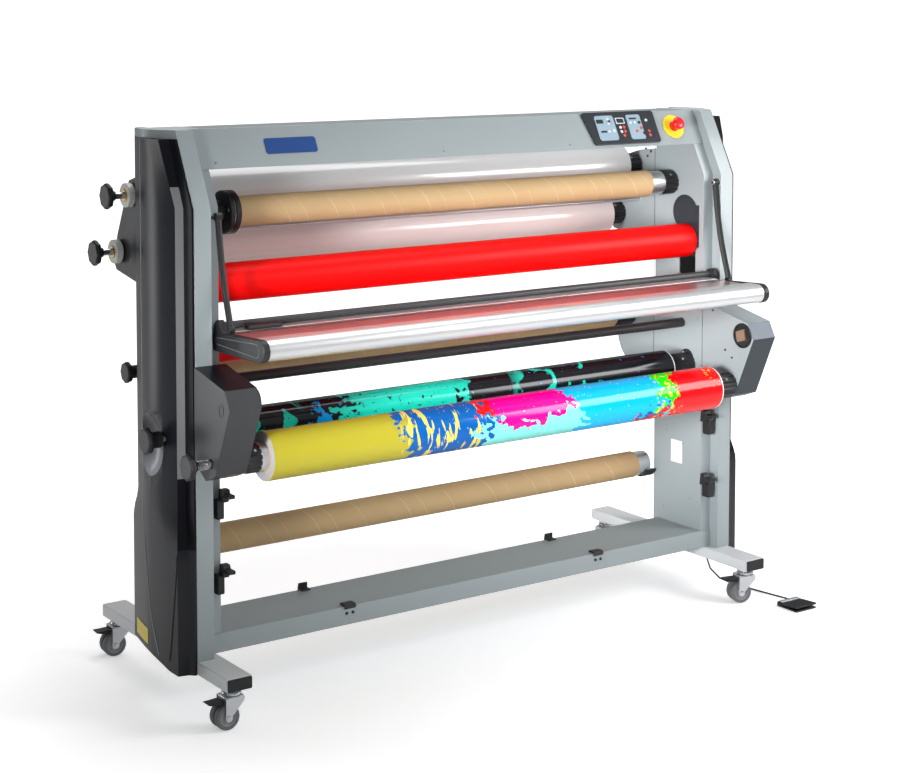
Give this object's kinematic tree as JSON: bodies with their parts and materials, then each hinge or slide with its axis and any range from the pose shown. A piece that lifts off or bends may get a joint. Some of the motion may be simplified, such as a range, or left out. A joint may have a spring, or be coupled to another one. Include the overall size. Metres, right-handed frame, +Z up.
{
  "type": "cold roll laminator",
  "caption": "Wide-format cold roll laminator on castors, with driven nip rollers, film and print rolls, feed table, control panel and foot pedal.",
  "frame": {"origin": "centre of the footprint, on the floor", "axes": "+X to the right of someone at the front, +Y to the back, +Z up"},
  "size_m": [2.074, 0.8808, 1.5256],
  "materials": {
    "frame_paint": "satin powder coat",
    "dark_paint": "satin black paint",
    "black_plastic": "satin moulded plastic",
    "red_button": "gloss red plastic",
    "red_silicone": "smooth silicone rubber",
    "cardboard": "spiral wound cardboard",
    "clear_film": "wound glossy film",
    "dark_print": "wound laminated print",
    "bright_print": "wound laminated print",
    "aluminium": "brushed aluminium",
    "castor_steel": "zinc plated steel",
    "castor_tread": "grey rubber",
    "drive_steel": "oiled steel"
  },
  "bodies": {
    "frame": {"bottom_stretcher": "frame_paint", "control_panel": "black_plastic", "drive_chain": "drive_steel", "drive_motor": "drive_steel", "guide_rod": "dark_paint", "left_cover": "black_plastic", "left_foot": "frame_paint", "left_front_arm": "dark_paint", "left_lower_rear_arm": "frame_paint", "left_side_frame": "frame_paint", "left_upper_rear_bracket": "dark_paint", "pedal_base": "black_plastic", "pedal_cable": "black_plastic", "right_cover": "black_plastic", "right_foot": "frame_paint", "right_front_arm": "frame_paint", "right_lower_rear_arm": "frame_paint", "right_side_frame": "frame_paint", "right_upper_rear_bracket": "frame_paint", "top_beam": "frame_paint"},
    "stop_button": {"stop_button": "red_button"},
    "front_left_castor": {"front_left_castor_fork": "castor_steel"},
    "front_left_castor_wheel": {"front_left_castor_wheel": "castor_tread"},
    "front_left_castor_brake": {"front_left_castor_brake_lever": "black_plastic"},
    "front_right_castor": {"front_right_castor_fork": "castor_steel"},
    "front_right_castor_wheel": {"front_right_castor_wheel": "castor_tread"},
    "front_right_castor_brake": {"front_right_castor_brake_lever": "black_plastic"},
    "rear_left_castor": {"rear_left_castor_fork": "castor_steel"},
    "rear_left_castor_wheel": {"rear_left_castor_wheel": "castor_tread"},
    "rear_left_castor_brake": {"rear_left_castor_brake_lever": "black_plastic"},
    "rear_right_castor": {"rear_right_castor_fork": "castor_steel"},
    "rear_right_castor_wheel": {"rear_right_castor_wheel": "castor_tread"},
    "rear_right_castor_brake": {"rear_right_castor_brake_lever": "black_plastic"},
    "left_lift_block": {"left_lift_block": "dark_paint"},
    "right_lift_block": {"right_lift_block": "dark_paint"},
    "top_roller": {"top_roller": "red_silicone"},
    "bottom_roller": {"bottom_roller": "red_silicone"},
    "motor_sprocket": {"motor_sprocket": "drive_steel"},
    "upper_film_roll": {"upper_film_roll": "clear_film"},
    "lower_film_roll": {"lower_film_roll": "clear_film"},
    "rear_core": {"rear_core": "cardboard"},
    "liner_roll": {"liner_core": "cardboard", "liner_mandrel": "aluminium"},
    "rear_print": {"rear_print_roll": "dark_print", "rear_print_mandrel": "aluminium"},
    "front_print": {"front_print_roll": "bright_print", "front_print_mandrel": "aluminium"},
    "film_idler": {"film_idler": "aluminium"},
    "upper_film_knob": {"upper_film_knob": "black_plastic"},
    "lower_film_knob": {"lower_film_knob": "black_plastic"},
    "rear_core_knob": {"rear_core_knob": "black_plastic"},
    "rear_print_knob": {"rear_print_knob": "black_plastic"},
    "front_print_knob": {"front_print_knob": "black_plastic"},
    "stored_core": {"stored_core": "cardboard"},
    "table": {"table_panel": "aluminium", "table_arm_left": "black_plastic", "table_arm_right": "black_plastic", "table_stay_left": "dark_paint", "table_stay_right": "dark_paint"},
    "pedal_plate": {"pedal_plate": "black_plastic"}
  },
  "joints": [
    {"name": "stop_button_push", "type": "slide", "parent": "frame", "child": "stop_button", "axis": [0, 0.8916, -0.4529], "range_m": [0, 0.006]},
    {"name": "front_left_castor_swivel", "type": "hinge", "parent": "frame", "child": "front_left_castor", "pos_m": [-0.9005, -0.26237, 0.0925], "axis": [0, 0, 1], "continuous": true},
    {"name": "front_left_castor_roll", "type": "hinge", "parent": "front_left_castor", "child": "front_left_castor_wheel", "pos_m": [-0.9205, -0.26237, 0.0335], "axis": [0, -1, 0], "continuous": true},
    {"name": "front_left_castor_brake_press", "type": "hinge", "parent": "front_left_castor", "child": "front_left_castor_brake", "pos_m": [-0.9365, -0.26237, 0.0735], "axis": [0, -1, 0], "range_deg": [0, 15]},
    {"name": "front_right_castor_swivel", "type": "hinge", "parent": "frame", "child": "front_right_castor", "pos_m": [0.9065, -0.26237, 0.0925], "axis": [0, 0, 1], "continuous": true},
    {"name": "front_right_castor_roll", "type": "hinge", "parent": "front_right_castor", "child": "front_right_castor_wheel", "pos_m": [0.88771, -0.25553, 0.0335], "axis": [-0.342, -0.9397, 0], "continuous": true},
    {"name": "front_right_castor_brake_press", "type": "hinge", "parent": "front_right_castor", "child": "front_right_castor_brake", "pos_m": [0.87267, -0.25005, 0.0735], "axis": [-0.342, -0.9397, 0], "range_deg": [0, 15]},
    {"name": "rear_left_castor_swivel", "type": "hinge", "parent": "frame", "child": "rear_left_castor", "pos_m": [-0.9005, 0.40563, 0.0925], "axis": [0, 0, 1], "continuous": true},
    {"name": "rear_left_castor_roll", "type": "hinge", "parent": "rear_left_castor", "child": "rear_left_castor_wheel", "pos_m": [-0.92042, 0.40738, 0.0335], "axis": [-0.0872, -0.9962, 0], "continuous": true},
    {"name": "rear_left_castor_brake_press", "type": "hinge", "parent": "rear_left_castor", "child": "rear_left_castor_brake", "pos_m": [-0.93636, 0.40877, 0.0735], "axis": [-0.0872, -0.9962, 0], "range_deg": [0, 15]},
    {"name": "rear_right_castor_swivel", "type": "hinge", "parent": "frame", "child": "rear_right_castor", "pos_m": [0.9065, 0.40563, 0.0925], "axis": [0, 0, 1], "continuous": true},
    {"name": "rear_right_castor_roll", "type": "hinge", "parent": "rear_right_castor", "child": "rear_right_castor_wheel", "pos_m": [0.88771, 0.39879, 0.0335], "axis": [0.342, -0.9397, 0], "continuous": true},
    {"name": "rear_right_castor_brake_press", "type": "hinge", "parent": "rear_right_castor", "child": "rear_right_castor_brake", "pos_m": [0.87267, 0.39332, 0.0735], "axis": [0.342, -0.9397, 0], "range_deg": [0, 15]},
    {"name": "left_lift", "type": "slide", "parent": "frame", "child": "left_lift_block", "axis": [0, 0, 1], "range_m": [-0.054, 0]},
    {"name": "right_lift", "type": "slide", "parent": "frame", "child": "right_lift_block", "axis": [0, 0, 1], "range_m": [-0.054, 0]},
    {"name": "top_roller_spin", "type": "hinge", "parent": "left_lift_block", "child": "top_roller", "pos_m": [0.003, -0.04237, 1.1125], "axis": [1, 0, 0], "continuous": true},
    {"name": "bottom_roller_spin", "type": "hinge", "parent": "frame", "child": "bottom_roller", "pos_m": [0.003, -0.04237, 0.9525], "axis": [1, 0, 0], "continuous": true},
    {"name": "motor_spin", "type": "hinge", "parent": "frame", "child": "motor_sprocket", "pos_m": [-0.902, -0.04237, 0.5775], "axis": [1, 0, 0], "continuous": true},
    {"name": "upper_film_roll_spin", "type": "hinge", "parent": "frame", "child": "upper_film_roll", "pos_m": [0.003, 0.21163, 1.3335], "axis": [1, 0, 0], "continuous": true},
    {"name": "lower_film_roll_spin", "type": "hinge", "parent": "frame", "child": "lower_film_roll", "pos_m": [0.003, 0.29063, 1.1715], "axis": [1, 0, 0], "continuous": true},
    {"name": "rear_core_spin", "type": "hinge", "parent": "frame", "child": "rear_core", "pos_m": [0.003, 0.23363, 0.8435], "axis": [1, 0, 0], "continuous": true},
    {"name": "liner_roll_spin", "type": "hinge", "parent": "frame", "child": "liner_roll", "pos_m": [0.003, 0.03463, 1.2905], "axis": [1, 0, 0], "continuous": true},
    {"name": "rear_print_spin", "type": "hinge", "parent": "frame", "child": "rear_print", "pos_m": [0.003, -0.05037, 0.7175], "axis": [1, 0, 0], "continuous": true},
    {"name": "front_print_spin", "type": "hinge", "parent": "frame", "child": "front_print", "pos_m": [0.003, -0.23837, 0.6825], "axis": [1, 0, 0], "continuous": true},
    {"name": "film_idler_spin", "type": "hinge", "parent": "frame", "child": "film_idler", "pos_m": [0.003, 0.18963, 1.2235], "axis": [1, 0, 0], "continuous": true},
    {"name": "upper_film_knob_turn", "type": "hinge", "parent": "frame", "child": "upper_film_knob", "pos_m": [-1.021, 0.21163, 1.3335], "axis": [1, 0, 0], "range_deg": [0, 720]},
    {"name": "lower_film_knob_turn", "type": "hinge", "parent": "frame", "child": "lower_film_knob", "pos_m": [-1.022, 0.29063, 1.1715], "axis": [1, 0, 0], "range_deg": [0, 720]},
    {"name": "rear_core_knob_turn", "type": "hinge", "parent": "frame", "child": "rear_core_knob", "pos_m": [-0.957, 0.23363, 0.8435], "axis": [1, 0, 0], "range_deg": [0, 720]},
    {"name": "rear_print_knob_turn", "type": "hinge", "parent": "frame", "child": "rear_print_knob", "pos_m": [-1.037, -0.05037, 0.7175], "axis": [1, 0, 0], "range_deg": [0, 720]},
    {"name": "front_print_knob_turn", "type": "hinge", "parent": "frame", "child": "front_print_knob", "pos_m": [-1.013, -0.23837, 0.6825], "axis": [1, 0, 0], "range_deg": [0, 720]},
    {"name": "stored_core_lift", "type": "slide", "parent": "frame", "child": "stored_core", "axis": [0, 0, 1], "range_m": [0, 0.08]},
    {"name": "table_swing", "type": "hinge", "parent": "frame", "child": "table", "pos_m": [0.003, -0.13437, 1.2995], "axis": [-1, 0, 0], "range_deg": [0, 60]},
    {"name": "pedal_press", "type": "hinge", "parent": "frame", "child": "pedal_plate", "pos_m": [0.995, -0.37787, 0.0105], "axis": [1, 0, 0], "range_deg": [0, 4]}
  ],
  "couplings": [
    {"joint": "right_lift", "follows": "left_lift", "ratio": 1},
    {"joint": "motor_spin", "follows": "bottom_roller_spin", "ratio": 1}
  ]
}
